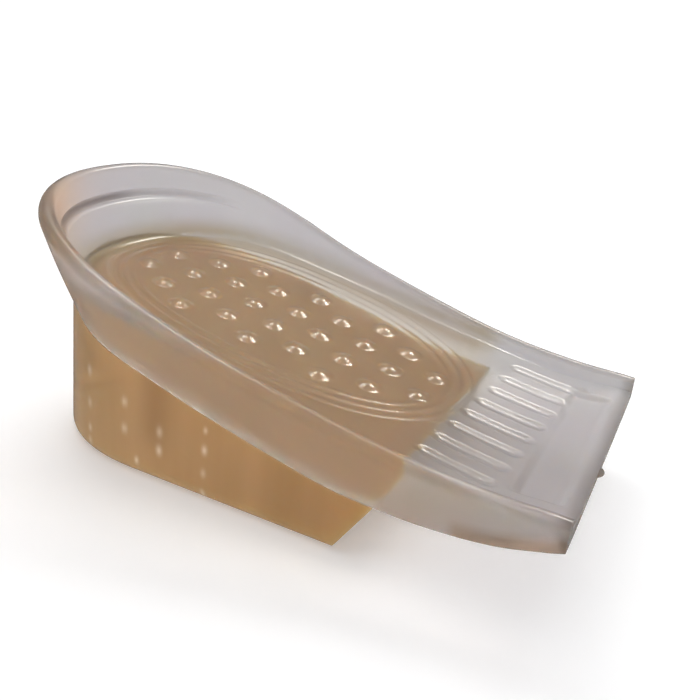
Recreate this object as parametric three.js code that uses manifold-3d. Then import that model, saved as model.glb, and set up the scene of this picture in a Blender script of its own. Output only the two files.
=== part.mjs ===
// Height-increasing heel insole in two moulded gel layers: a clear heel cup with a thin front flap, on
// an amber lift wedge. Millimetres, +Z up, heel towards -X and tip towards +X.
// Stations are measured along X from the back of the wedge; the group at the end centres the part.

import * as THREE from "three";
import { mergeVertices } from "three/addons/utils/BufferGeometryUtils.js";
import Module from "manifold-3d";

const wasm = await Module();
wasm.setup();

// Plan sizes
const TIP = 124; // station of the flap's front edge
const HEEL_ROUND = 33.5; // length of the rounded heel, from its back to its widest section
const HEEL_POWER = 2.3; // roundness of the heel outline: 2 is an ellipse, more is squarer
const RIM_OVERHANG = 5; // how far the cup's rim leans out behind the wedge
const BED_INSET = 4.5; // from the back of the wedge to the rear end of the flat footbed
const UNDER_POWER = 7; // how late the underside turns up to its edge: more keeps it flat for longer
const LAYER_GAP = 0.3; // clearance between the two layers

// Cross sections, one row per station from heel to tip. "rim" is the top of the cup's wall, "edge" the
// lower outer edge of the cup, "bed" the footbed inside it and "under" the middle of its underside.
const SECTIONS = [
  { at: 0, rimHalf: 38.7, rimZ: 57.5, edgeHalf: 33, edgeZ: 40, bedHalf: 29, bedZ: 37.8, underZ: 31.2 },
  { at: 10, rimHalf: 38.7, rimZ: 53.4, edgeHalf: 33, edgeZ: 34, bedHalf: 29, bedZ: 36.9, underZ: 30.4 },
  { at: 20, rimHalf: 38.7, rimZ: 49, edgeHalf: 33, edgeZ: 29, bedHalf: 29.2, bedZ: 35.4, underZ: 29 },
  { at: 33.5, rimHalf: 38.7, rimZ: 42.8, edgeHalf: 33, edgeZ: 24.6, bedHalf: 29.5, bedZ: 32.8, underZ: 25.8 },
  { at: 48, rimHalf: 38.2, rimZ: 37.1, edgeHalf: 33, edgeZ: 20.2, bedHalf: 30, bedZ: 29.8, underZ: 21.2 },
  { at: 63, rimHalf: 37.6, rimZ: 32.4, edgeHalf: 33, edgeZ: 16.3, bedHalf: 30, bedZ: 26.7, underZ: 16.6 },
  { at: 80, rimHalf: 36.6, rimZ: 27.8, edgeHalf: 33, edgeZ: 12.6, bedHalf: 30, bedZ: 23.1, underZ: 12.9 },
  { at: 90, rimHalf: 36, rimZ: 25.5, edgeHalf: 33, edgeZ: 11.7, bedHalf: 30, bedZ: 21.3, underZ: 11.7 },
  { at: 100, rimHalf: 35.5, rimZ: 23.8, edgeHalf: 33.4, edgeZ: 11.8, bedHalf: 30, bedZ: 19.5, underZ: 11.9 },
  { at: 112, rimHalf: 34.9, rimZ: 22.6, edgeHalf: 34, edgeZ: 13.3, bedHalf: 30.5, bedZ: 18.2, underZ: 13.8 },
  { at: 121, rimHalf: 34.5, rimZ: 22.3, edgeHalf: 34.3, edgeZ: 15.8, bedHalf: 31, bedZ: 18.3, underZ: 15.7 },
  { at: 124, rimHalf: 34.4, rimZ: 22.1, edgeHalf: 34.4, edgeZ: 16.9, bedHalf: 31.5, bedZ: 17.8, underZ: 16.2 },
];

// Cup wall
const RIM_ROUND = 1.8; // radius of the rim's rounded top
const RIM_SHARE = 0.4; // most of a thin section's height that the rounding may take
const OUTER_BULGE = 0.2; // how much of the outer wall's flare is curved, the rest being straight
const INNER_BULGE = 0.75; // the same for the inner wall
const BED_DISH = 1.2; // rise of the footbed from its middle to its edge
const LEDGE_DEPTH = 0.9; // step in the inner heel wall
const LEDGE_AT = 0.72; // height of the step, as a share of the inner wall's curve
const LEDGE_FADE = 16; // station where the step has run out along both sides

// Massage domes, staggered rows inside an oval
const DOME_RADIUS = 3;
const DOME_HEIGHT = 0.8;
const DOME_PITCH = 10.4; // across a row
const DOME_ROW_PITCH = 9; // from row to row
const DOME_ROW_COUNT = 9;
const DOME_MARGIN = 1; // how close to the innermost ridge a dome's centre may lie

// Oval ridges round the domes
const OVAL_CENTRE = 50;
const OVAL_LENGTH = 88;
const OVAL_WIDTH = 55;
const OVAL_STEP = 2.6; // from one ridge to the next one inside it
const RIDGE_COUNT = 3;
const RIDGE_WIDTH = 1.6;
const RIDGE_HEIGHT = 0.2;

// Flex flutes across the root of the flap, and the shallow panel in front of them
const FLUTE_COUNT = 8;
const FLUTE_PITCH = 7;
const FLUTE_RADIUS = 2.1;
const FLUTE_DEPTH = 0.6;
const FLUTE_TURN = -4.5; // degrees, the row's turn about its middle
const FLUTE_FROM = 97;
const FLUTE_TO = 109.5;
const PANEL_FROM = 112.5;
const PANEL_TO = 120.5;
const PANEL_HALF = 24;
const PANEL_DEPTH = 0.4;
const PANEL_CLEAR = 4; // how far the panel's cutter stands above its floor

// Moulding nub left on the front edge
const NUB_RADIUS = 2.4;
const NUB_REACH = 1; // how far it stands out of the front edge
const NUB_FLATNESS = 0.3; // its height as a share of its width
const NUB_SIDE = -6; // off the middle line

// Wedge
const WEDGE_FOOT = 82; // station of its lower front edge
const WEDGE_FRONT = 90; // station of its upper front edge
const WEDGE_CORNER = 3.2; // rounding of its lower edge
const WEDGE_FLARE = 2; // how much farther out its sides are at the ground than at its top
const HEEL_FLARE = 3; // the same for its back

// Mesh fineness
const HEEL_STEPS = 20;
const WEDGE_STATIONS = [39, 45, 52, 60, 68, 76, 83, WEDGE_FRONT];
const FLAP_STATIONS = [95, 101, 107, 113, 118, 121, TIP];
const UNDER_SHARES = [0, 0.35, 0.6, 0.78, 0.91, 1];
const WALL_SHARES = [0.25, 0.5, 0.75, 1];
const RIM_ANGLES = [35, 65, 95, 125, 150];
const INNER_SHARES = [0.88, LEDGE_AT + 0.02, LEDGE_AT - 0.02, 0.55, 0.38, 0.2, 0];
const BED_SHARES = [0.75, 0.4, 0];
const CORNER_ANGLES = [0, 30, 60, 90];
const SIDE_SHARES = [0.4, 0.75, 1];
const OVAL_STEPS = 34;
const DOME_SIDES = 8;
const DOME_BANDS = 4;
const FLUTE_SIDES = 8;
const FLUTE_BANDS = 2;
const MERGE = 1e-4; // distance within which vertices are one

const lerp = THREE.MathUtils.lerp;
const clamp = THREE.MathUtils.clamp;

// A column of the section table at any station, on a smooth curve through its rows.
function column(name, station) {
  const last = SECTIONS.length - 1;
  const x = clamp(station, 0, TIP);
  const found = SECTIONS.findIndex((row) => row.at > x);
  const i = found < 0 ? last - 1 : found - 1;
  const [a, b] = [SECTIONS[i], SECTIONS[i + 1]];
  const before = SECTIONS[Math.max(i - 1, 0)];
  const after = SECTIONS[Math.min(i + 2, last)];
  const span = b.at - a.at;
  const slopeA = (b[name] - before[name]) / (b.at - before.at);
  const slopeB = (after[name] - a[name]) / (after.at - a.at);
  const t = (x - a.at) / span;
  const bend = (1 - t) * (slopeA * span - (b[name] - a[name])) - t * (slopeB * span - (b[name] - a[name]));
  return lerp(a[name], b[name], t) + t * (1 - t) * bend;
}

// Outward rays of the plan: up the near side from the front, round the heel and back along the far side.
function planRays(stations) {
  const ease = 2 / HEEL_POWER;
  const near = stations.map((at) => ({ spine: at, back: 0, side: -1, station: at })).reverse();
  const far = stations.map((at) => ({ spine: at, back: 0, side: 1, station: at }));
  const heel = [];
  for (let i = 0; i <= HEEL_STEPS; i++) {
    const angle = Math.PI * (i / HEEL_STEPS - 0.5);
    const back = Math.abs(Math.cos(angle)) ** ease;
    const side = Math.sign(angle) * Math.abs(Math.sin(angle)) ** ease;
    heel.push({ spine: HEEL_ROUND, back, side, station: HEEL_ROUND * (1 - back) });
  }
  return [...near, ...heel, ...far];
}

// The point of a ray at the given reach to the back and to the side.
function onRay(ray, back, side, z) {
  return new THREE.Vector3(ray.spine - back * ray.back, side * ray.side, z);
}

// Height of the cup's underside at a share of the way from the spine to the lower edge.
function underHeight(x, station, share) {
  return lerp(column("underZ", x), column("edgeZ", station), share ** UNDER_POWER);
}

// Height of the footbed at a point of the plan.
function bedHeight(x, y) {
  const back = Math.max(HEEL_ROUND - x, 0) / (HEEL_ROUND - BED_INSET);
  const side = Math.abs(y) / column("bedHalf", x);
  const share = (back ** HEEL_POWER + side ** HEEL_POWER) ** (1 / HEEL_POWER);
  return column("bedZ", x) + BED_DISH * share ** 2;
}

// One cross section of the cup, from the spine along the underside, over the rim and back to the spine.
function cupSection(ray) {
  const at = ray.station;
  const edge = { back: HEEL_ROUND, side: column("edgeHalf", at), z: column("edgeZ", at) };
  const rim = { back: HEEL_ROUND + RIM_OVERHANG, side: column("rimHalf", at), z: column("rimZ", at) };
  const bed = { back: HEEL_ROUND - BED_INSET, side: column("bedHalf", at) };
  const round = Math.min(RIM_ROUND, RIM_SHARE * (rim.z - edge.z));
  const ledge = LEDGE_DEPTH * clamp(2 - (2 * at) / LEDGE_FADE, 0, 1);
  const points = [];
  for (const share of UNDER_SHARES) {
    const point = onRay(ray, share * edge.back, share * edge.side, 0);
    point.z = underHeight(point.x, at, share);
    points.push(point);
  }
  for (const share of WALL_SHARES) {
    const lean = lerp(share, Math.sin((share * Math.PI) / 2), OUTER_BULGE);
    const z = lerp(edge.z, rim.z - round, share);
    points.push(onRay(ray, lerp(edge.back, rim.back, lean), lerp(edge.side, rim.side, lean), z));
  }
  let inset = 0;
  let innerTop = 0;
  for (const degrees of RIM_ANGLES) {
    const angle = THREE.MathUtils.degToRad(degrees);
    inset = round * (1 - Math.cos(angle));
    innerTop = rim.z - round * (1 - Math.sin(angle));
    points.push(onRay(ray, rim.back - inset, rim.side - inset, innerTop));
  }
  const bedEdge = onRay(ray, bed.back, bed.side, 0);
  const bedEdgeZ = bedHeight(bedEdge.x, bedEdge.y);
  for (const share of INNER_SHARES) {
    const turn = (share * Math.PI) / 2;
    const lean = lerp(share, Math.sin(turn), INNER_BULGE);
    const thick = share < LEDGE_AT ? (ledge * share) / LEDGE_AT : 0;
    const back = lerp(bed.back, rim.back - inset, lean) - thick;
    const side = lerp(bed.side, rim.side - inset, lean) - thick;
    points.push(onRay(ray, back, side, lerp(bedEdgeZ, innerTop, 1 - Math.cos(turn))));
  }
  for (const share of BED_SHARES) {
    const point = onRay(ray, share * bed.back, share * bed.side, 0);
    point.z = bedHeight(point.x, point.y);
    points.push(point);
  }
  return points;
}

// One cross section of the wedge, from the spine along its foot, up its wall and back over its top.
function wedgeSection(ray) {
  const at = ray.station;
  const straight = Math.max(at - HEEL_ROUND, 0) / (WEDGE_FRONT - HEEL_ROUND);
  const top = { back: HEEL_ROUND, side: column("edgeHalf", at), z: column("edgeZ", at) - LAYER_GAP };
  const frontZ = column("edgeZ", WEDGE_FRONT);
  const points = [];
  // The front face leans forward, so a station's point moves with its height.
  const put = (inset, z) => {
    const drop = clamp(1 - z / top.z, 0, 1);
    const back = top.back + HEEL_FLARE * drop - inset;
    const side = top.side + WEDGE_FLARE * drop - inset;
    const point = onRay(ray, back, side, z);
    const lean = (WEDGE_FRONT - WEDGE_FOOT) * clamp(1 - z / frontZ, 0, 1);
    point.x -= straight * lean;
    points.push(point);
  };
  points.push(onRay(ray, 0, 0, 0));
  points[0].x -= straight * (WEDGE_FRONT - WEDGE_FOOT);
  for (const degrees of CORNER_ANGLES) {
    const angle = THREE.MathUtils.degToRad(degrees);
    put(WEDGE_CORNER * (1 - Math.sin(angle)), WEDGE_CORNER * (1 - Math.cos(angle)));
  }
  for (const share of SIDE_SHARES) {
    put(0, lerp(WEDGE_CORNER, top.z, share));
  }
  for (const share of [...UNDER_SHARES].reverse().slice(1)) {
    const point = onRay(ray, share * top.back, share * top.side, 0);
    point.z = underHeight(point.x, at, share) - LAYER_GAP;
    points.push(point);
  }
  return points;
}

// A closed geometry through the sections of all rays, with a flat front between the first and the last.
function loft(sections) {
  const size = sections[0].length;
  const points = sections.flat();
  const triangles = [];
  for (let i = 0; i + 1 < sections.length; i++) {
    for (let j = 0; j + 1 < size; j++) {
      const a = i * size + j;
      const b = a + size;
      // Each quad is split along its shorter diagonal, so faces that mate are split alike.
      const rising = points[a].distanceTo(points[b + 1]);
      const falling = points[a + 1].distanceTo(points[b]);
      if (rising < falling) {
        triangles.push([a, a + 1, b + 1], [a, b + 1, b]);
      } else {
        triangles.push([a, a + 1, b], [b, a + 1, b + 1]);
      }
    }
  }
  const nearFront = sections[0].map((_, j) => j);
  const farFront = sections.at(-1).map((_, j) => points.length - 1 - j);
  const ring = [...nearFront, ...farFront.slice(1, -1)];
  const outline = ring.map((k) => new THREE.Vector2(points[k].y, points[k].z));
  for (const face of THREE.ShapeUtils.triangulateShape(outline, [])) {
    triangles.push(face.map((k) => ring[k]));
  }
  const geometry = new THREE.BufferGeometry().setFromPoints(points);
  geometry.setIndex(triangles.flat());
  return geometry;
}

// A closed ridge of half-round section along a loop of points on the footbed.
function ridgeGeometry(length, width) {
  const section = [
    { out: -0.5, up: -0.6 },
    { out: 0.5, up: -0.6 },
    { out: 0.3, up: 0.75 },
    { out: 0, up: 1 },
    { out: -0.3, up: 0.75 },
  ];
  const ease = 2 / HEEL_POWER;
  const points = [];
  const index = [];
  for (let i = 0; i < OVAL_STEPS; i++) {
    const angle = (2 * Math.PI * i) / OVAL_STEPS;
    const along = Math.sign(Math.cos(angle)) * Math.abs(Math.cos(angle)) ** ease;
    const across = Math.sign(Math.sin(angle)) * Math.abs(Math.sin(angle)) ** ease;
    for (const corner of section) {
      const x = OVAL_CENTRE + (length / 2 + corner.out * RIDGE_WIDTH) * along;
      const y = (width / 2 + corner.out * RIDGE_WIDTH) * across;
      points.push(new THREE.Vector3(x, y, bedHeight(x, y) + corner.up * RIDGE_HEIGHT));
    }
  }
  const n = section.length;
  for (let i = 0; i < OVAL_STEPS; i++) {
    for (let j = 0; j < n; j++) {
      const a = i * n + j;
      const b = i * n + ((j + 1) % n);
      const c = ((i + 1) % OVAL_STEPS) * n + j;
      const d = ((i + 1) % OVAL_STEPS) * n + ((j + 1) % n);
      index.push(a, c, b, b, c, d);
    }
  }
  const geometry = new THREE.BufferGeometry().setFromPoints(points);
  geometry.setIndex(index);
  return geometry;
}

// Centres of the massage domes: staggered rows, kept inside the innermost ridge.
function domeCentres() {
  const margin = RIDGE_COUNT * OVAL_STEP - DOME_MARGIN;
  const halfLength = OVAL_LENGTH / 2 - margin;
  const halfWidth = OVAL_WIDTH / 2 - margin;
  const centres = [];
  for (let row = 0; row < DOME_ROW_COUNT; row++) {
    const x = OVAL_CENTRE + (row - (DOME_ROW_COUNT - 1) / 2) * DOME_ROW_PITCH;
    const shift = row % 2 ? 0 : 0.5;
    for (let k = -3; k <= 3; k++) {
      const y = (k + shift) * DOME_PITCH;
      if (((x - OVAL_CENTRE) / halfLength) ** 2 + (y / halfWidth) ** 2 < 1) {
        centres.push({ x, y });
      }
    }
  }
  return centres;
}

// A geometry as a solid for joining and cutting.
function solid(geometry) {
  const bare = geometry.clone();
  bare.deleteAttribute("normal");
  bare.deleteAttribute("uv");
  const merged = mergeVertices(bare, MERGE);
  const index = merged.index.array;
  const triVerts = [];
  for (let i = 0; i < index.length; i += 3) {
    const [a, b, c] = [index[i], index[i + 1], index[i + 2]];
    if (a !== b && b !== c && a !== c) {
      triVerts.push(a, b, c);
    }
  }
  return new wasm.Manifold(
    new wasm.Mesh({
      numProp: 3,
      vertProperties: merged.attributes.position.array,
      triVerts: new Uint32Array(triVerts),
    }),
  );
}

// A solid back as a geometry.
function geometryOf(made) {
  const mesh = made.getMesh();
  const geometry = new THREE.BufferGeometry();
  geometry.setAttribute("position", new THREE.BufferAttribute(mesh.vertProperties, 3));
  geometry.setIndex(new THREE.BufferAttribute(mesh.triVerts, 1));
  geometry.computeVertexNormals();
  return geometry;
}

// Slope of the footbed's middle line between two stations, as an angle about Y.
function bedSlope(from, to) {
  return -Math.atan2(column("bedZ", to) - column("bedZ", from), to - from);
}

function cupInsole() {
  let cup = solid(loft(planRays([...WEDGE_STATIONS, ...FLAP_STATIONS]).map(cupSection)));
  for (let i = 0; i < RIDGE_COUNT; i++) {
    const shrink = 2 * i * OVAL_STEP;
    cup = cup.add(solid(ridgeGeometry(OVAL_LENGTH - shrink, OVAL_WIDTH - shrink)));
  }
  for (const { x, y } of domeCentres()) {
    const dome = new THREE.SphereGeometry(1, DOME_SIDES, DOME_BANDS)
      .rotateX(Math.PI / 2)
      .scale(DOME_RADIUS, DOME_RADIUS, DOME_HEIGHT)
      .translate(x, y, bedHeight(x, y));
    cup = cup.add(solid(dome));
  }
  const middle = (FLUTE_FROM + FLUTE_TO) / 2;
  const turn = THREE.MathUtils.degToRad(FLUTE_TURN);
  for (let i = 0; i < FLUTE_COUNT; i++) {
    const off = (i - (FLUTE_COUNT - 1) / 2) * FLUTE_PITCH;
    const x = middle - off * Math.sin(turn);
    const y = off * Math.cos(turn);
    const flute = new THREE.CapsuleGeometry(FLUTE_RADIUS, FLUTE_TO - FLUTE_FROM, FLUTE_BANDS, FLUTE_SIDES)
      .rotateZ(Math.PI / 2)
      .rotateY(bedSlope(FLUTE_FROM, FLUTE_TO))
      .rotateZ(turn)
      .translate(x, y, bedHeight(x, y) + FLUTE_RADIUS - FLUTE_DEPTH);
    cup = cup.subtract(solid(flute));
  }
  const panelMiddle = (PANEL_FROM + PANEL_TO) / 2;
  const panelFloor = column("bedZ", panelMiddle) - PANEL_DEPTH;
  const panel = new THREE.BoxGeometry(PANEL_TO - PANEL_FROM, 2 * PANEL_HALF, PANEL_CLEAR)
    .rotateY(bedSlope(PANEL_FROM, PANEL_TO))
    .translate(panelMiddle, 0, panelFloor + PANEL_CLEAR / 2);
  cup = cup.subtract(solid(panel));
  const nub = new THREE.SphereGeometry(NUB_RADIUS, DOME_SIDES, DOME_BANDS)
    .scale(1, 1, NUB_FLATNESS)
    .translate(TIP + NUB_REACH - NUB_RADIUS, NUB_SIDE, (column("bedZ", TIP) + column("underZ", TIP)) / 2);
  return geometryOf(cup.add(solid(nub)));
}

function liftBlock() {
  return geometryOf(solid(loft(planRays(WEDGE_STATIONS).map(wedgeSection))));
}

function piece(name, geometry, material) {
  const mesh = new THREE.Mesh(geometry, material);
  mesh.name = name;
  return mesh;
}

const clearGel = new THREE.MeshStandardMaterial({
  color: 0xcfcaca,
  roughness: 0.12,
  metalness: 0,
  transparent: true,
  opacity: 0.55,
});
const amberGel = new THREE.MeshStandardMaterial({
  color: 0xb08c5e,
  roughness: 0.15,
  metalness: 0,
  transparent: true,
  opacity: 0.85,
});

// The origin is on the ground, half way between the back of the rim and the front of the nub.
const layers = new THREE.Group();
layers.position.x = -(TIP + NUB_REACH - RIM_OVERHANG) / 2;
layers.add(piece("cup_insole", cupInsole(), clearGel));
layers.add(piece("lift_block", liftBlock(), amberGel));

const insole = new THREE.Group();
insole.add(layers);

export default insole;
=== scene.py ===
"""Looks of the two-layer gel heel lift: the clear cup and the amber wedge as fine smooth meshes, their gel
materials, a pale floor, soft studio light and the camera. Sizes are in millimetres until a mesh is made."""

import math

import bmesh
import bpy
import numpy as np
from mathutils import Matrix, Vector

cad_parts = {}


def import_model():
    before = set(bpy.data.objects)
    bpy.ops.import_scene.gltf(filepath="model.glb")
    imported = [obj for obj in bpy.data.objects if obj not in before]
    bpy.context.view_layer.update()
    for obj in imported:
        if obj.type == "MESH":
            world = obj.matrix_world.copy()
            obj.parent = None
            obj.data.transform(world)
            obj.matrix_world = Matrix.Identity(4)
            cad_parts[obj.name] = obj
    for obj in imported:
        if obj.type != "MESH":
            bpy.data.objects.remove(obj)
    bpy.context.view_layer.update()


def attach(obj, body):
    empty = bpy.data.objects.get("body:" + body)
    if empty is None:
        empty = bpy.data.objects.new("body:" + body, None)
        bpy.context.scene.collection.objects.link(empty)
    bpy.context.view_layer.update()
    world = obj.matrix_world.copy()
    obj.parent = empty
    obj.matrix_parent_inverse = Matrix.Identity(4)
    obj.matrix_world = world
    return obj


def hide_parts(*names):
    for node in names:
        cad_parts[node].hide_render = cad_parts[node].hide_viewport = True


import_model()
MM = 0.001

# Plan sizes
TIP = 124.0
HEEL_ROUND = 33.5
HEEL_POWER = 2.3
RIM_OVERHANG = 5.0
BED_INSET = 4.5
UNDER_POWER = 7
LAYER_GAP = 0.3
LAYER_TOUCH = 0.1  # the wedge's top presses into the cup by this, so that light passes as through joined gel
EDGE_POWER = 80  # how close to the edge the wedge's top drops away to the seam

# Cross sections, one row per station from heel to tip
COLUMNS = ("at", "rim_half", "rim_z", "edge_half", "edge_z", "bed_half", "bed_z", "under_z")
SECTIONS = np.array([
    (0, 38.7, 57.5, 33.0, 40.0, 29.0, 37.8, 31.2),
    (10, 38.7, 53.4, 33.0, 34.0, 29.0, 36.9, 30.4),
    (20, 38.7, 49.0, 33.0, 29.0, 29.2, 35.4, 29.0),
    (33.5, 38.7, 42.8, 33.0, 24.6, 29.5, 32.8, 25.8),
    (48, 38.2, 37.1, 33.0, 20.2, 30.0, 29.8, 21.2),
    (63, 37.6, 32.4, 33.0, 16.3, 30.0, 26.7, 16.6),
    (80, 36.6, 27.8, 33.0, 12.6, 30.0, 23.1, 12.9),
    (90, 36.0, 25.5, 33.0, 11.7, 30.0, 21.3, 11.7),
    (100, 35.5, 23.8, 33.4, 11.8, 30.0, 19.5, 11.9),
    (112, 34.9, 22.6, 34.0, 13.3, 30.5, 18.2, 13.8),
    (121, 34.5, 22.3, 34.3, 15.8, 31.0, 18.3, 15.7),
    (124, 34.4, 22.1, 34.4, 16.9, 31.5, 17.8, 16.2),
])

# Cup wall
RIM_ROUND = 1.8
RIM_SHARE = 0.4
OUTER_BULGE = 0.2
INNER_BULGE = 0.75
BED_DISH = 1.2
LEDGE_DEPTH = 0.9
LEDGE_AT = 0.72
LEDGE_FADE = 16.0
LEDGE_SOFT = 0.012  # half the height of the step's slope, as a share of the inner wall's curve
GROOVE_DEPTH = 0.5  # fine groove just above the step
GROOVE_SHARE = 0.045  # its half height, as a share of the inner wall's curve

# Massage domes and the oval ridges round them
DOME_RADIUS = 3.0
DOME_HEIGHT = 0.8
DOME_PITCH = 10.4
DOME_ROW_PITCH = 9.0
DOME_ROW_COUNT = 9
DOME_MARGIN = 1.0
OVAL_CENTRE = 50.0
OVAL_LENGTH = 88.0
OVAL_WIDTH = 55.0
OVAL_STEP = 2.6
RIDGE_COUNT = 3
RIDGE_WIDTH = 2.2
RIDGE_HEIGHT = 0.16

# Flex flutes across the root of the flap, and the shallow panel in front of them
FLUTE_COUNT = 8
FLUTE_PITCH = 7.0
FLUTE_HALF = 1.9  # half of a flute's width
FLUTE_DEPTH = 0.45
FLUTE_TURN = -4.5  # degrees, the row's turn about its middle
FLUTE_FROM = 97.0
FLUTE_TO = 109.5
PANEL_FROM = 112.5
PANEL_TO = 120.5
PANEL_HALF = 24.0
PANEL_DEPTH = 0.4
PANEL_SOFT = 0.8  # half the width of the slope round the panel

# Nub and wedge
NUB_RADIUS = 2.4
NUB_REACH = 1.0
NUB_FLATNESS = 0.3
NUB_SIDE = -6.0
WEDGE_FOOT = 82.0
WEDGE_FRONT = 90.0
WEDGE_CORNER = 3.2
WEDGE_FLARE = 2.0
HEEL_FLARE = 3.0

# Steps of the meshes, along the rays and from ray to ray
UNDER_STEPS = 33
UNDER_CROWDING = 0.8  # below one, steps crowd towards the edge
OUTER_STEPS = 14
RIM_STEPS = 10
RIM_TURN = 150.0  # degrees that the rim's round turns
INNER_STEPS = 30
LEDGE_STEPS = 15
BED_STEPS = 80
CORNER_STEPS = 8
WALL_STEPS = 60
TOP_STEPS = 39
TOP_CROWDING = 0.7
CUP_RAYS = 130  # on each straight side, and round the heel
WEDGE_RAYS = 150
WEDGE_HEEL_RAYS = 220
SHARP_ANGLE = 38.0
WELD_REACH = 0.001

# The part's origin is half way between the back of the rim and the front of the nub.
ORIGIN_STATION = (TIP + NUB_REACH - RIM_OVERHANG) / 2

# Gel skin
GEL_IOR = 1.2
COAT = 0.1
COAT_IOR = 1.42
COAT_ROUGHNESS = 0.15
SCATTER_RADII = (1.0, 0.7, 0.45)
SKIN_WAVE = 0.15  # height of the skin's waviness, in millimetres
SKIN_SCALE = 160
SKIN_STRENGTH = 0.25
HAZE_SCALE = 120
HAZE_SPREAD = 0.12
CLOUD_SCALE = 45
STREAK_SCALE = 110
CLEAR_TINT = (0.635, 0.62, 0.655)
CLEAR_CLOUDS = ((0.98, 1.0, 0.97), (1.02, 1.0, 1.03))
CLEAR_ABSORB = (0.92, 0.78, 0.42)
CLEAR_DENSITY = 7
CLEAR_SHARE = 0.95  # clear share of the skin, the rest scatters
CLEAR_ROUGHNESS = 0.17
CLEAR_DEPTH = 6.0  # how deep scattered light goes, in millimetres
MILK_TINT = (0.38, 0.34, 0.29)
MILK_SHARE = 0.2
AMBER_TINT = (0.62, 0.42, 0.222)  # at the heel
AMBER_FRONT = (0.52, 0.325, 0.15)  # at the wedge's front
AMBER_CLOUDS = ((0.92, 0.92, 0.90), (1.08, 1.08, 1.10))
AMBER_ABSORB = (0.95, 0.52, 0.22)
AMBER_DENSITY = 8
AMBER_SHARE = 0.4
AMBER_ROUGHNESS = 0.15
AMBER_DEPTH = 16.0
AMBER_UPRIGHT = 0.1  # the amber's clouds are drawn out into upright streaks
GLINT_TINT = (0.94, 0.78, 0.58)

# Tints painted on the cup. A pair says where a tint starts and where it is full.
# Painted amber glow over the footbed, standing in for the wedge's light seen through the clear cup
BED_GLOW_TINT = (0.88, 0.80, 0.65)  # footbed
WARM_SHARES = (1.1, 1.0)  # shares of the footbed's plan, from its spine to its edge
WARM_STATIONS = (WEDGE_FRONT + 3.0, WEDGE_FRONT - 3.0)
MARGIN_REFRACTION_TINT = (0.42, 0.31, 0.185)  # far and rear margin of the footbed: painted refraction of the amber wedge
MARGIN_SHARES = (0.72, 0.92)
MARGIN_SIDES = (-9.6, 2.4)
GLOW_TINT = (0.44, 0.37, 0.27)  # foot of the inner wall
GLOW_SHARES = (0.96, 1.01)
GLOW_LIMITS = (1.25, 1.2)  # farther out lies the outer wall
GLOW_LOW = -1.0  # heights over the footbed's edge
GLOW_HIGH = 5.0
NEAR_LIT_TINT = (0.97, 0.94, 0.97)  # painted light: the near outer wall is paler, as if lit from the front
NEAR_LIT_STATIONS = (12.0, 26.0)
OUTER_REACHES = (-1.0, -0.5)  # distances out of the seam where the outer wall starts
HEEL_REFRACTION_TINT = (0.80, 0.56, 0.42)  # rim and outer wall on one side of the heel: painted refraction of the amber wedge
HEEL_ANGLE = -42.0  # degrees round the heel from its back
HEEL_SPREAD = 27.0
HEEL_REACHES = (HEEL_ROUND + 1.0, HEEL_ROUND + 3.0)
TAN_REFRACTION_TINT = (0.44, 0.26, 0.17)  # foot of the flap's near side: painted refraction of amber light
TAN_STATIONS = (104.0, 106.0)
TAN_HEIGHTS = (4.0, 2.0)  # over the seam
SHADE_TINT = (0.07, 0.062, 0.062)
RIM_SHADE = 0.55
RIM_CLEAR = -30.0  # distance from the middle line where the rim's darkening starts
RIM_FADE = 20.0
STROKE_SIDES = (-24, -18, 0, 8, 20, 26)  # dark stroke over the step, across the heel
STROKE_SHADES = (0, 0.95, 0.95, 0.45, 0.35, 0)
FLUTE_SHADE = 0.22
EDGE_SHADE = 0.65
EDGE_WIDE = 3.0
HIGHLIGHT_TINT = (1.0, 1.0, 1.0)
HIGHLIGHT_SHARE = 0.9  # painted highlight: a light stroke under the step of the inner wall
HIGHLIGHT_SIDE = 9.0
HIGHLIGHT_HALF = 9.0
HIGHLIGHT_BELOW = 2.5  # the stroke's drop below the step and its half height, as multiples of LEDGE_SOFT
HIGHLIGHT_THICK = 1.6
WALL_HAZE = 1.4  # roughness of walls, rim and flap, as a multiple of the footbed's
HAZE_SHARES = (1.06, 1.01)
TOP_SKIN = 3.0  # points within this depth of the footbed belong to its top side

# Painted glints in the wedge: upright columns as a station and the heights of its spots
GLINT_SPOTS = (
    (20, (20, 12.4, 6.4, 3.3)),
    (31.5, (16.4, 10.3)),
    (35, (3.9,)),
    (41, (12.2, 8.0)),
    (52.5, (15.9, 11.6, 6.5, 1.9)),
)
SPOT_SIZE = 0.55
SPOT_TALL = 1.6  # how much taller than wide a spot is
SPOT_INSIDE = 20.0  # spots show only farther than this from the middle line
SPOT_SEED = 4
SPOT_SIZES = (0.7, 1.3)  # ranges of the spots' sizes and strengths
SPOT_SHARES = (0.5, 1.0)
SPOT_HAZE = 0.5
SEAM_SHADE_TINT = (0.34, 0.20, 0.10)  # painted shade: a darker upright band under the seam
SEAM_SHADE_SHARE = 0.45
DIM_STATION = 39.5
DIM_HALF = 3.5
DIM_HEIGHTS = (6.0, 12.0)
SOFT_TINT = (0.72, 0.66, 0.56)  # paler margin round the wedge's top
SOFT_FROM = 0.78

# Floor sweep, in metres
SWEEP_FRONT = -1.2
SWEEP_BACK = 0.9
SWEEP_ROUND = 0.5
SWEEP_TOP = 2.0
SWEEP_HALF = 2.5

# Camera, fitted to the photograph
CAMERA_PLACE = (134.0, -135.3, 88.2)
CAMERA_YAW = 26.44
CAMERA_PITCH = 22.47
CAMERA_ROLL = -4.0
FOCAL_PIXELS = 731.6
IMAGE_PIXELS = 700
SENSOR = 36.0


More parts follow.
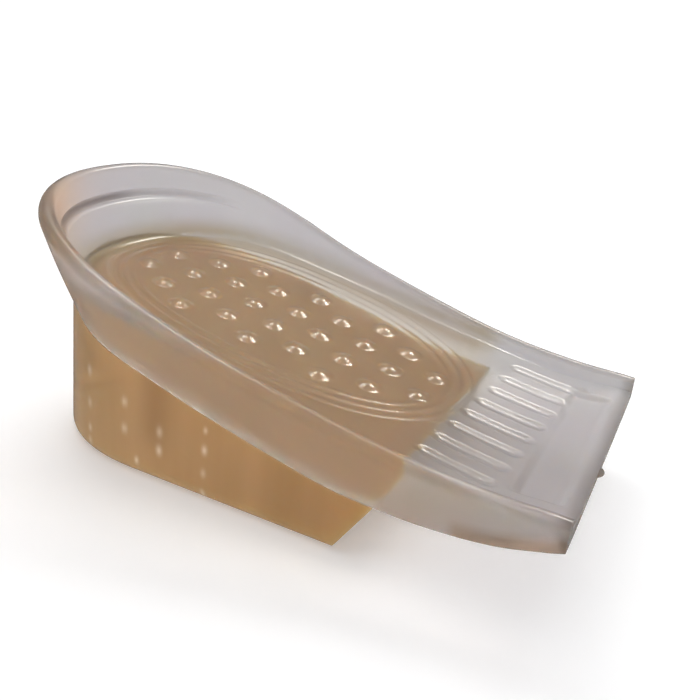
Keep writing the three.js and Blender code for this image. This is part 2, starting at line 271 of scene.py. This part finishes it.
def column(name, station):
    """A column of the section table at any stations, on a smooth curve through its rows."""
    at = SECTIONS[:, 0]
    values = SECTIONS[:, COLUMNS.index(name)]
    last = len(at) - 1
    x = np.clip(station, 0.0, TIP)
    i = np.clip(np.searchsorted(at, x, side="right") - 1, 0, last - 1)
    before = np.maximum(i - 1, 0)
    after = np.minimum(i + 2, last)
    span = at[i + 1] - at[i]
    rise = values[i + 1] - values[i]
    slope_a = (values[i + 1] - values[before]) / (at[i + 1] - at[before])
    slope_b = (values[after] - values[i]) / (at[after] - at[i])
    t = (x - at[i]) / span
    bend = (1 - t) * (slope_a * span - rise) - t * (slope_b * span - rise)
    return values[i] + rise * t + t * (1 - t) * bend


def lerp(a, b, t):
    return a + (b - a) * t


def ramp(value, start, end):
    """None at start and one at end, and level outside them."""
    return np.clip((value - start) / (end - start), 0, 1)


def power_cos(angle):
    return np.sign(np.cos(angle)) * np.abs(np.cos(angle)) ** (2 / HEEL_POWER)


def power_sin(angle):
    return np.sign(np.sin(angle)) * np.abs(np.sin(angle)) ** (2 / HEEL_POWER)


class Rays:
    """Outward rays of the plan: up the near side from the front, round the heel, back along the far side."""

    def __init__(self, stations, heel_steps):
        angle = np.pi * (np.arange(heel_steps + 1) / heel_steps - 0.5)
        back = np.abs(power_cos(angle))
        side = power_sin(angle)
        none = np.zeros(len(stations))
        self.spine = np.concatenate([stations[::-1], np.full(len(angle), HEEL_ROUND), stations])
        self.back = np.concatenate([none, back, none])
        self.side = np.concatenate([none - 1, side, none + 1])
        self.station = np.concatenate([stations[::-1], HEEL_ROUND * (1 - back), stations])

    def at(self, back, side, z):
        x = self.spine - back * self.back
        return np.stack([x, side * self.side, np.broadcast_to(z, x.shape)], axis=-1)


def under_height(x, station, share):
    return lerp(column("under_z", x), column("edge_z", station), share**UNDER_POWER)


def bed_share(x, y):
    back = np.maximum(HEEL_ROUND - x, 0) / (HEEL_ROUND - BED_INSET)
    side = np.abs(y) / column("bed_half", x)
    return (back**HEEL_POWER + side**HEEL_POWER) ** (1 / HEEL_POWER)


def bed_height(x, y):
    return column("bed_z", x) + BED_DISH * bed_share(x, y) ** 2


def dome_centres():
    margin = RIDGE_COUNT * OVAL_STEP - DOME_MARGIN
    half_length = OVAL_LENGTH / 2 - margin
    half_width = OVAL_WIDTH / 2 - margin
    centres = []
    for row in range(DOME_ROW_COUNT):
        x = OVAL_CENTRE + (row - (DOME_ROW_COUNT - 1) / 2) * DOME_ROW_PITCH
        shift = 0.0 if row % 2 else 0.5
        for k in range(-3, 4):
            y = (k + shift) * DOME_PITCH
            if ((x - OVAL_CENTRE) / half_length) ** 2 + (y / half_width) ** 2 < 1:
                centres.append((x, y))
    return centres


def relief(x, y):
    """Height of the domes and oval ridges over the footbed."""
    height = np.zeros_like(x)
    for cx, cy in dome_centres():
        d2 = ((x - cx) ** 2 + (y - cy) ** 2) / DOME_RADIUS**2
        height = np.maximum(height, DOME_HEIGHT * np.clip(1 - d2, 0, 1) ** 1.5)
    for i in range(RIDGE_COUNT):
        half_length = OVAL_LENGTH / 2 - i * OVAL_STEP
        half_width = OVAL_WIDTH / 2 - i * OVAL_STEP
        u = np.abs(x - OVAL_CENTRE) / half_length
        v = np.abs(y) / half_width
        share = (u**HEEL_POWER + v**HEEL_POWER) ** (1 / HEEL_POWER)
        reach = np.hypot(x - OVAL_CENTRE, y) / np.maximum(share, 1e-6)
        away = (share - 1) * reach / (RIDGE_WIDTH / 2)
        height = np.maximum(height, RIDGE_HEIGHT * np.clip(1 - away**2, 0, 1) ** 1.5)
    return height


def flute_depth(x, y):
    """Depth of the round-ended flutes below the footbed."""
    depth = np.zeros_like(x)
    turn = math.radians(FLUTE_TURN)
    middle = (FLUTE_FROM + FLUTE_TO) / 2
    along = (x - middle) * math.cos(turn) + y * math.sin(turn)
    across = y * math.cos(turn) - (x - middle) * math.sin(turn)
    beyond = np.maximum(np.abs(along) - (FLUTE_TO - FLUTE_FROM) / 2, 0)
    for i in range(FLUTE_COUNT):
        aside = across - (i - (FLUTE_COUNT - 1) / 2) * FLUTE_PITCH
        inside = np.clip(1 - (beyond**2 + aside**2) / FLUTE_HALF**2, 0, 1)
        depth = np.maximum(depth, FLUTE_DEPTH * inside**1.5)
    return depth


def panel_share(x, y):
    """One inside the panel, none outside it, with a soft step between."""
    inside = np.minimum(np.minimum(x - PANEL_FROM, PANEL_TO - x), PANEL_HALF - np.abs(y))
    t = np.clip(inside / PANEL_SOFT / 2 + 0.5, 0, 1)
    return t * t * (3 - 2 * t)


def panel_floor(x):
    middle = (PANEL_FROM + PANEL_TO) / 2
    rise = column("bed_z", PANEL_TO) - column("bed_z", PANEL_FROM)
    return column("bed_z", middle) - PANEL_DEPTH + rise * (x - middle) / (PANEL_TO - PANEL_FROM)


def top_height(x, y):
    """Height of the footbed with its domes, ridges, flutes and panel."""
    plain = bed_height(x, y) + relief(x, y) - flute_depth(x, y)
    return lerp(plain, np.minimum(plain, panel_floor(x)), panel_share(x, y))


def cup_sections(rays):
    """The cup's cross sections, from the spine along the underside, over the rim and back to the spine, and
    how much painted shade, or below none painted highlight, each of their points gets."""
    at = rays.station
    edge_back, edge_side, edge_z = HEEL_ROUND, column("edge_half", at), column("edge_z", at)
    rim_back, rim_side, rim_z = HEEL_ROUND + RIM_OVERHANG, column("rim_half", at), column("rim_z", at)
    bed_back, bed_side = HEEL_ROUND - BED_INSET, column("bed_half", at)
    round_ = np.minimum(RIM_ROUND, RIM_SHARE * (rim_z - edge_z))
    ledge = LEDGE_DEPTH * np.clip(2 - 2 * at / LEDGE_FADE, 0, 1)
    none = np.zeros(len(at))
    points = []
    shades = []
    for share in np.linspace(0, 1, UNDER_STEPS + 1) ** UNDER_CROWDING:
        p = rays.at(share * edge_back, share * edge_side, 0.0)
        p[:, 2] = under_height(p[:, 0], at, share)
        points.append(p)
        shades.append(none)
    for share in np.linspace(0, 1, OUTER_STEPS + 1)[1:]:
        lean = lerp(share, math.sin(share * math.pi / 2), OUTER_BULGE)
        z = lerp(edge_z, rim_z - round_, share)
        points.append(rays.at(lerp(edge_back, rim_back, lean), lerp(edge_side, rim_side, lean), z))
        shades.append(none)
    for angle in np.radians(np.linspace(0, RIM_TURN, RIM_STEPS + 1)[1:]):
        inset = round_ * (1 - math.cos(angle))
        inner_top = rim_z - round_ * (1 - math.sin(angle))
        points.append(rays.at(rim_back - inset, rim_side - inset, inner_top))
        rear = ramp(rays.side * rim_side, RIM_CLEAR, RIM_CLEAR + RIM_FADE)
        shades.append(rear * RIM_SHADE * math.sin(angle) ** 2)
    bed_edge = rays.at(bed_back, bed_side, 0.0)
    bed_edge_z = bed_height(bed_edge[:, 0], bed_edge[:, 1])
    near_ledge = LEDGE_AT + GROOVE_SHARE * np.linspace(-1, 2, LEDGE_STEPS + 1)
    whole_wall = np.linspace(0, 1, INNER_STEPS + 1)[:-1]
    for share in np.sort(np.concatenate([whole_wall, near_ledge]))[::-1]:
        turn = share * math.pi / 2
        lean = lerp(share, math.sin(turn), INNER_BULGE)
        step = np.clip((LEDGE_AT - share) / LEDGE_SOFT / 2 + 0.5, 0, 1)
        groove = max(1 - ((share - LEDGE_AT - GROOVE_SHARE) / GROOVE_SHARE) ** 2, 0)
        thick = ledge * (step * share / LEDGE_AT - groove * GROOVE_DEPTH / LEDGE_DEPTH)
        back = lerp(bed_back, rim_back - inset, lean) - thick
        side = lerp(bed_side, rim_side - inset, lean) - thick
        points.append(rays.at(back, side, lerp(bed_edge_z, inner_top, 1 - math.cos(turn))))
        # Painted highlight: a light stroke just under the step
        stroke = math.exp(-(((share - LEDGE_AT) / LEDGE_SOFT + HIGHLIGHT_BELOW) / HIGHLIGHT_THICK) ** 2)
        across = rays.side * bed_side
        stroke = stroke * np.exp(-(((across - HIGHLIGHT_SIDE) / HIGHLIGHT_HALF) ** 2))
        dark = math.sqrt(groove) * np.interp(across, STROKE_SIDES, STROKE_SHADES)
        shades.append((dark - HIGHLIGHT_SHARE * stroke) * ledge / LEDGE_DEPTH)
    for share in np.linspace(1, 0, BED_STEPS + 1)[1:]:
        p = rays.at(share * bed_back, share * bed_side, 0.0)
        p[:, 2] = top_height(p[:, 0], p[:, 1])
        points.append(p)
        shades.append(none)
    return np.stack(points, axis=1), np.stack(shades, axis=1)


def wedge_sections(rays):
    """The wedge's cross sections, from the spine along its foot, up its wall and back over its top, and how
    much paler the gel looks at each of their points."""
    at = rays.station
    straight = np.maximum(at - HEEL_ROUND, 0) / (WEDGE_FRONT - HEEL_ROUND)
    top_back, top_side = HEEL_ROUND, column("edge_half", at)
    top_z = column("edge_z", at) - LAYER_GAP
    front_z = column("edge_z", WEDGE_FRONT)
    none = np.zeros(len(at))
    points = []
    shades = []

    def put(inset, z):
        drop = np.clip(1 - z / top_z, 0, 1)
        p = rays.at(top_back + HEEL_FLARE * drop - inset, top_side + WEDGE_FLARE * drop - inset, z)
        p[:, 0] -= straight * (WEDGE_FRONT - WEDGE_FOOT) * np.clip(1 - z / front_z, 0, 1)
        points.append(p)
        shades.append(none)

    foot = rays.at(0.0, 0.0, 0.0)
    foot[:, 0] -= straight * (WEDGE_FRONT - WEDGE_FOOT)
    points.append(foot)
    shades.append(none)
    for angle in np.radians(np.linspace(0, 90, CORNER_STEPS + 1)):
        put(WEDGE_CORNER * (1 - math.sin(angle)), WEDGE_CORNER * (1 - math.cos(angle)) + none)
    for share in np.linspace(0, 1, WALL_STEPS + 1)[1:]:
        put(0.0, lerp(WEDGE_CORNER, top_z, share))
    for share in np.linspace(1, 0, TOP_STEPS + 1)[1:] ** TOP_CROWDING:
        p = rays.at(share * top_back, share * top_side, 0.0)
        p[:, 2] = under_height(p[:, 0], at, share) + lerp(LAYER_TOUCH, -LAYER_GAP, share**EDGE_POWER)
        points.append(p)
        shades.append(np.full(len(at), max(share - SOFT_FROM, 0) / (1 - SOFT_FROM)))
    return np.stack(points, axis=1), np.stack(shades, axis=1)


def loft(name, sections, shades):
    """A closed mesh object through the sections of all rays, with a front face between first and last."""
    count, size = sections.shape[:2]
    index = np.arange(count * size).reshape(count, size)
    corners = (index[:-1, :-1], index[:-1, 1:], index[1:, 1:], index[1:, :-1])
    quads = np.stack(corners, axis=-1).reshape(-1, 4)
    front = list(index[0]) + list(index[-1][::-1][1:-1])
    points = sections.reshape(-1, 3).copy()
    points[:, 0] -= ORIGIN_STATION
    mesh = bpy.data.meshes.new(name)
    mesh.from_pydata((points * MM).tolist(), [], quads.tolist() + [[int(k) for k in front]])
    mesh.attributes.new("shade", "FLOAT", "POINT").data.foreach_set("value", shades.ravel())
    obj = bpy.data.objects.new(name, mesh)
    bpy.context.collection.objects.link(obj)
    weld(obj)
    return obj


def weld(obj):
    """Joins the points that neighbouring rays share on the spine, and splits the faces into triangles."""
    bm = bmesh.new()
    bm.from_mesh(obj.data)
    bmesh.ops.remove_doubles(bm, verts=bm.verts, dist=WELD_REACH * MM)
    bmesh.ops.dissolve_degenerate(bm, edges=bm.edges, dist=WELD_REACH * MM)
    bmesh.ops.triangulate(bm, faces=bm.faces)
    bmesh.ops.recalc_face_normals(bm, faces=bm.faces)
    bm.to_mesh(obj.data)
    bm.free()


def join(obj, tool):
    """Joins the tool object to obj, and removes it."""
    change = obj.modifiers.new("join", "BOOLEAN")
    change.object = tool
    change.operation = "UNION"
    change.solver = "MANIFOLD"
    dg = bpy.context.evaluated_depsgraph_get()
    made = bpy.data.meshes.new_from_object(obj.evaluated_get(dg))
    obj.modifiers.clear()
    obj.data = made
    obj.data.materials.clear()
    bpy.data.objects.remove(tool)


def nub():
    bpy.ops.mesh.primitive_uv_sphere_add(segments=24, ring_count=12, radius=NUB_RADIUS * MM)
    obj = bpy.context.object
    z = (column("bed_z", TIP) + column("under_z", TIP)) / 2
    obj.data.transform(Matrix.Diagonal((1, 1, NUB_FLATNESS, 1)))
    place = Vector((TIP + NUB_REACH - NUB_RADIUS - ORIGIN_STATION, NUB_SIDE, z)) * MM
    obj.data.transform(Matrix.Translation(place))
    return obj


def vertex_places(obj):
    """Stations, sides and heights of an object's vertices in millimetres."""
    points = np.empty(len(obj.data.vertices) * 3)
    obj.data.vertices.foreach_get("co", points)
    points = points.reshape(-1, 3) / MM
    return points[:, 0] + ORIGIN_STATION, points[:, 1], points[:, 2]


def blend(colours, tint, share):
    """Colours of many points, each mixed with a tint by its own share."""
    return lerp(colours, np.array(tint), np.clip(share, 0, 1)[:, None])


def paint(obj, colours, haze):
    """Keeps a tint and the skin's haze on each vertex for the gel's material."""
    layer = obj.data.attributes.new("tint", "FLOAT_COLOR", "POINT")
    layer.data.foreach_set("color", np.column_stack([colours, np.ones(len(colours))]).ravel())
    obj.data.attributes.new("haze", "FLOAT", "POINT").data.foreach_set("value", haze)


def paint_cup(obj):
    """The footbed gets a painted amber glow, its margin, one side of the heel and the flap's near foot
    painted refraction, the near outer wall painted light, rim, groove, edge and flutes painted shade with a
    painted highlight under the step, and walls and flap are hazier.
    """
    station, side, z = vertex_places(obj)
    shade = np.empty(len(z))
    obj.data.attributes["shade"].data.foreach_get("value", shade)
    share = bed_share(station, side)
    over_bed = z - column("bed_z", station)
    over_edge = over_bed - BED_DISH
    top_side = over_bed > -TOP_SKIN
    rear = ramp(station, *WARM_STATIONS)
    bed = ramp(share, *WARM_SHARES) * rear
    margin = ramp(share, *MARGIN_SHARES) * ramp(side, *MARGIN_SIDES) * top_side
    glow = ramp(share, *GLOW_SHARES) * ramp(share, *GLOW_LIMITS) * (over_edge > GLOW_LOW) * rear
    outer = ramp(-side - column("edge_half", station), *OUTER_REACHES)
    foot = ramp(z - column("edge_z", station), *TAN_HEIGHTS)
    reach = np.hypot(side, np.maximum(HEEL_ROUND - station, 0))
    angle = np.degrees(np.arctan2(side, HEEL_ROUND - station))
    heel = np.exp(-(((angle - HEEL_ANGLE) / HEEL_SPREAD) ** 2)) * ramp(reach, *HEEL_REACHES)
    # Painted amber glow over the footbed
    colours = blend(np.tile(CLEAR_TINT, (len(z), 1)), BED_GLOW_TINT, bed)
    # Painted refraction of the amber wedge on the footbed's far and rear margin
    colours = blend(colours, MARGIN_REFRACTION_TINT, bed * margin)
    colours = blend(colours, GLOW_TINT, glow * ramp(over_edge, GLOW_HIGH, 0))
    # Painted light: the near outer wall is paler, as if lit from the front
    colours = blend(colours, NEAR_LIT_TINT, outer * ramp(station, *NEAR_LIT_STATIONS))
    # Painted refraction of amber light at the foot of the flap's near side
    colours = blend(colours, TAN_REFRACTION_TINT, outer * foot * ramp(station, *TAN_STATIONS))
    # Painted refraction of the amber wedge on one side of the heel's rim and outer wall
    colours = blend(colours, HEEL_REFRACTION_TINT, heel)
    tip = EDGE_SHADE * ramp(station, TIP - EDGE_WIDE, TIP)
    flute = FLUTE_SHADE * flute_depth(station, side) / FLUTE_DEPTH * top_side
    colours = blend(colours, SHADE_TINT, np.maximum(np.maximum(shade, tip), flute))
    # Painted highlight where the shade is below none
    colours = blend(colours, HIGHLIGHT_TINT, -shade)
    top = ramp(share, *HAZE_SHARES) * top_side * rear
    paint(obj, colours, lerp(WALL_HAZE, 1.0, top))


def paint_wedge(obj):
    """Painted glints stand in upright columns along both sides of the wedge, beside an upright band of
    painted shade.
    """
    station, side, z = vertex_places(obj)
    chance = np.random.default_rng(SPOT_SEED)
    # Painted glints, as lighter spots in upright columns
    light = np.zeros(len(z))
    for at, heights in GLINT_SPOTS:
        for height in heights:
            size = SPOT_SIZE * chance.uniform(*SPOT_SIZES)
            apart = (station - at) ** 2 + ((z - height) / SPOT_TALL) ** 2
            light = np.maximum(light, chance.uniform(*SPOT_SHARES) * np.exp(-apart / size**2))
    outside = np.abs(side) > SPOT_INSIDE
    light = np.where(outside, light, 0)
    dim = np.exp(-(((station - DIM_STATION) / DIM_HALF) ** 2)) * ramp(z, *DIM_HEIGHTS)
    soft = np.empty(len(z))
    obj.data.attributes["shade"].data.foreach_get("value", soft)
    colours = blend(np.tile(AMBER_TINT, (len(z), 1)), AMBER_FRONT, station / WEDGE_FRONT)
    colours = blend(colours, SOFT_TINT, soft)
    # Painted shade: a darker upright band under the seam
    colours = blend(colours, SEAM_SHADE_TINT, SEAM_SHADE_SHARE * dim * outside)
    paint(obj, blend(colours, GLINT_TINT, light), 1 + SPOT_HAZE * light)


def smooth(obj, degrees=SHARP_ANGLE):
    for face in obj.data.polygons:
        face.use_smooth = True
    obj.data.set_sharp_from_angle(angle=math.radians(degrees))


def noise(tree, scale, detail, low, high, upright=1.0):
    """A soft noise in the piece's space, as a value from low to high, drawn out in height if upright < 1."""
    place = tree.nodes.new("ShaderNodeTexCoord")
    stretch = tree.nodes.new("ShaderNodeMapping")
    stretch.inputs["Scale"].default_value = (1, 1, upright)
    texture = tree.nodes.new("ShaderNodeTexNoise")
    texture.inputs["Scale"].default_value = scale
    texture.inputs["Detail"].default_value = detail
    tree.links.new(place.outputs["Object"], stretch.inputs["Vector"])
    tree.links.new(stretch.outputs["Vector"], texture.inputs["Vector"])
    spread = tree.nodes.new("ShaderNodeMapRange")
    spread.inputs["From Min"].default_value = 0.3
    spread.inputs["From Max"].default_value = 0.7
    spread.inputs["To Min"].default_value = low
    spread.inputs["To Max"].default_value = high
    tree.links.new(texture.outputs["Fac"], spread.inputs["Value"])
    return spread.outputs["Result"]


def cloudy(tree, clouds, upright):
    """The painted tint, multiplied by a colour that drifts between two clouds."""
    cloud = tree.nodes.new("ShaderNodeMix")
    cloud.data_type = "RGBA"
    cloud.inputs["A"].default_value = (*clouds[0], 1)
    cloud.inputs["B"].default_value = (*clouds[1], 1)
    scale = CLOUD_SCALE if upright == 1 else STREAK_SCALE
    tree.links.new(noise(tree, scale, 2, 0, 1, upright), cloud.inputs["Factor"])
    painted = tree.nodes.new("ShaderNodeAttribute")
    painted.attribute_name = "tint"
    product = tree.nodes.new("ShaderNodeMix")
    product.data_type = "RGBA"
    product.blend_type = "MULTIPLY"
    product.inputs["Factor"].default_value = 1
    tree.links.new(painted.outputs["Color"], product.inputs["A"])
    tree.links.new(cloud.outputs["Result"], product.inputs["B"])
    return product.outputs["Result"]


def gel(name, clouds, clearness, absorb, density, roughness, depth, upright=1.0, milk=0.0):
    """Glossy hazy gel, coloured by the length that light crosses and mixed with a share of milky gel."""
    material = bpy.data.materials.new(name)
    material.use_nodes = True
    tree = material.node_tree
    shader = tree.nodes["Principled BSDF"]
    shader.inputs["Transmission Weight"].default_value = clearness
    shader.inputs["IOR"].default_value = GEL_IOR
    shader.inputs["Subsurface Weight"].default_value = 1.0
    shader.inputs["Subsurface Radius"].default_value = SCATTER_RADII
    shader.inputs["Subsurface Scale"].default_value = depth * MM
    shader.inputs["Coat Weight"].default_value = COAT
    shader.inputs["Coat Roughness"].default_value = COAT_ROUGHNESS
    shader.inputs["Coat IOR"].default_value = COAT_IOR
    # Cloudy tint, uneven haze and the faint waviness of a moulded skin
    tree.links.new(cloudy(tree, clouds, upright), shader.inputs["Base Color"])
    haze = tree.nodes.new("ShaderNodeAttribute")
    haze.attribute_name = "haze"
    rough = tree.nodes.new("ShaderNodeMath")
    rough.operation = "MULTIPLY"
    tree.links.new(haze.outputs["Fac"], rough.inputs[0])
    uneven = noise(tree, HAZE_SCALE, 2, (1 - HAZE_SPREAD) * roughness, (1 + HAZE_SPREAD) * roughness)
    tree.links.new(uneven, rough.inputs[1])
    tree.links.new(rough.outputs["Value"], shader.inputs["Roughness"])
    bump = tree.nodes.new("ShaderNodeBump")
    bump.inputs["Strength"].default_value = SKIN_STRENGTH
    bump.inputs["Distance"].default_value = SKIN_WAVE * MM
    tree.links.new(noise(tree, SKIN_SCALE, 3, 0, 1), bump.inputs["Height"])
    tree.links.new(bump.outputs["Normal"], shader.inputs["Normal"])
    tree.links.new(bump.outputs["Normal"], shader.inputs["Coat Normal"])
    if milk:
        milky = tree.nodes.new("ShaderNodeSubsurfaceScattering")
        milky.inputs["Color"].default_value = (*MILK_TINT, 1)
        milky.inputs["Radius"].default_value = SCATTER_RADII
        milky.inputs["Scale"].default_value = depth * MM
        mixed = tree.nodes.new("ShaderNodeMixShader")
        mixed.inputs["Fac"].default_value = milk
        tree.links.new(shader.outputs["BSDF"], mixed.inputs[1])
        tree.links.new(milky.outputs["BSSRDF"], mixed.inputs[2])
        tree.links.new(mixed.outputs["Shader"], tree.nodes["Material Output"].inputs["Surface"])
    volume = tree.nodes.new("ShaderNodeVolumeAbsorption")
    volume.inputs["Color"].default_value = (*absorb, 1)
    volume.inputs["Density"].default_value = density
    tree.links.new(volume.outputs["Volume"], tree.nodes["Material Output"].inputs["Volume"])
    return material


def cup():
    straight = np.linspace(HEEL_ROUND, TIP, CUP_RAYS + 1)[1:]
    obj = loft("cup_gel", *cup_sections(Rays(straight, CUP_RAYS)))
    join(obj, nub())
    smooth(obj)
    paint_cup(obj)
    obj.data.materials.append(gel(
        "clear_gel", CLEAR_CLOUDS, CLEAR_SHARE, CLEAR_ABSORB, CLEAR_DENSITY,
        CLEAR_ROUGHNESS, CLEAR_DEPTH, milk=MILK_SHARE,
    ))
    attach(obj, "root")
    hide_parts("cup_insole")
    return obj


def wedge():
    straight = np.linspace(HEEL_ROUND, WEDGE_FRONT, WEDGE_RAYS + 1)[1:]
    obj = loft("wedge_gel", *wedge_sections(Rays(straight, WEDGE_HEEL_RAYS)))
    smooth(obj)
    paint_wedge(obj)
    obj.data.materials.append(gel(
        "amber_gel", AMBER_CLOUDS, AMBER_SHARE, AMBER_ABSORB, AMBER_DENSITY,
        AMBER_ROUGHNESS, AMBER_DEPTH, upright=AMBER_UPRIGHT,
    ))
    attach(obj, "root")
    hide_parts("lift_block")
    return obj


def floor():
    """A pale sweep: a flat floor that curves up into a backdrop."""
    profile = [(SWEEP_FRONT, 0.0), (SWEEP_BACK, 0.0)]
    for angle in np.radians(np.linspace(0, 90, 13)):
        profile.append((SWEEP_BACK + SWEEP_ROUND * math.sin(angle), SWEEP_ROUND * (1 - math.cos(angle))))
    profile.append((SWEEP_BACK + SWEEP_ROUND, SWEEP_TOP))
    points = [(x, y, z) for x in (-SWEEP_HALF, SWEEP_HALF) for y, z in profile]
    n = len(profile)
    faces = [(i, i + n, i + n + 1, i + 1) for i in range(n - 1)]
    mesh = bpy.data.meshes.new("floor")
    mesh.from_pydata(points, [], faces)
    obj = bpy.data.objects.new("floor", mesh)
    bpy.context.collection.objects.link(obj)
    # The sweep faces the camera, so its back lies straight ahead of it.
    obj.rotation_euler.z = math.radians(CAMERA_YAW)
    smooth(obj, 60)
    material = bpy.data.materials.new("pale_floor")
    material.use_nodes = True
    shader = material.node_tree.nodes["Principled BSDF"]
    shader.inputs["Base Color"].default_value = (0.93, 0.93, 0.93, 1)
    shader.inputs["Roughness"].default_value = 0.9
    shader.inputs["Emission Color"].default_value = (1, 1, 1, 1)
    shader.inputs["Emission Strength"].default_value = 0.2
    mesh.materials.append(material)
    # The gel mirrors the dim room and the lamps, not the white sweep.
    obj.visible_glossy = False


def area_light(name, place, target, size, watts, colour=(1, 1, 1)):
    data = bpy.data.lights.new(name, "AREA")
    data.shape = "RECTANGLE"
    data.size, data.size_y = size
    data.energy = watts
    data.color = colour
    obj = bpy.data.objects.new(name, data)
    bpy.context.collection.objects.link(obj)
    obj.location = place
    obj.rotation_euler = (Vector(target) - Vector(place)).to_track_quat("-Z", "Y").to_euler()


def lights():
    middle = (0, 0, 0.03)
    area_light("soft_top", (0.0, 0.1, 1.1), middle, (1.2, 1.2), 4.5)
    area_light("soft_left", (-0.9, -0.5, 0.7), middle, (0.7, 0.7), 0.5)
    area_light("soft_front", (0.45, -1.0, 0.45), middle, (1.0, 0.6), 4.8)
    area_light("backdrop_light", (-0.45, 0.9, 1.4), (-0.55, 1.2, 0.2), (1.8, 0.5), 12)
    glint_lamp("lamp_front", (0.094, 0.668, 0.834), middle, 0.22, 10)
    glint_lamp("lamp_rear", (-0.262, 0.455, 0.939), middle, 0.2, 4.5)


def glint_lamp(name, place, target, size, watts):
    """A small bright lamp that shows only as glints on glossy and clear surfaces."""
    area_light(name, place, target, (size, size), watts, (1, 0.95, 0.86))
    bpy.data.objects[name].visible_diffuse = False
    bpy.data.objects[name].visible_transmission = False


def world():
    studio = bpy.data.worlds.new("studio")
    studio.use_nodes = True
    studio.node_tree.nodes["Background"].inputs["Color"].default_value = (0.72, 0.72, 0.75, 1)
    studio.node_tree.nodes["Background"].inputs["Strength"].default_value = 0.3
    bpy.context.scene.world = studio


def camera():
    yaw, pitch, roll = (math.radians(v) for v in (CAMERA_YAW, CAMERA_PITCH, CAMERA_ROLL))
    forward = Vector((-math.sin(yaw) * math.cos(pitch), math.cos(yaw) * math.cos(pitch), -math.sin(pitch)))
    level = Vector((math.cos(yaw), math.sin(yaw), 0))
    down = forward.cross(level)
    right = level * math.cos(roll) + down * math.sin(roll)
    up = level * math.sin(roll) - down * math.cos(roll)
    data = bpy.data.cameras.new("camera")
    data.sensor_width = SENSOR
    data.lens = FOCAL_PIXELS / IMAGE_PIXELS * SENSOR
    data.clip_start = 0.005
    obj = bpy.data.objects.new("camera", data)
    bpy.context.collection.objects.link(obj)
    turn = Matrix((right, up, -forward)).transposed().to_4x4()
    place = Vector(CAMERA_PLACE) - Vector((ORIGIN_STATION, 0, 0))
    obj.matrix_world = Matrix.Translation(place * MM) @ turn
    bpy.context.scene.camera = obj


camera()
cup()
wedge()
floor()
lights()
world()
bpy.context.scene.view_settings.view_transform = "Standard"
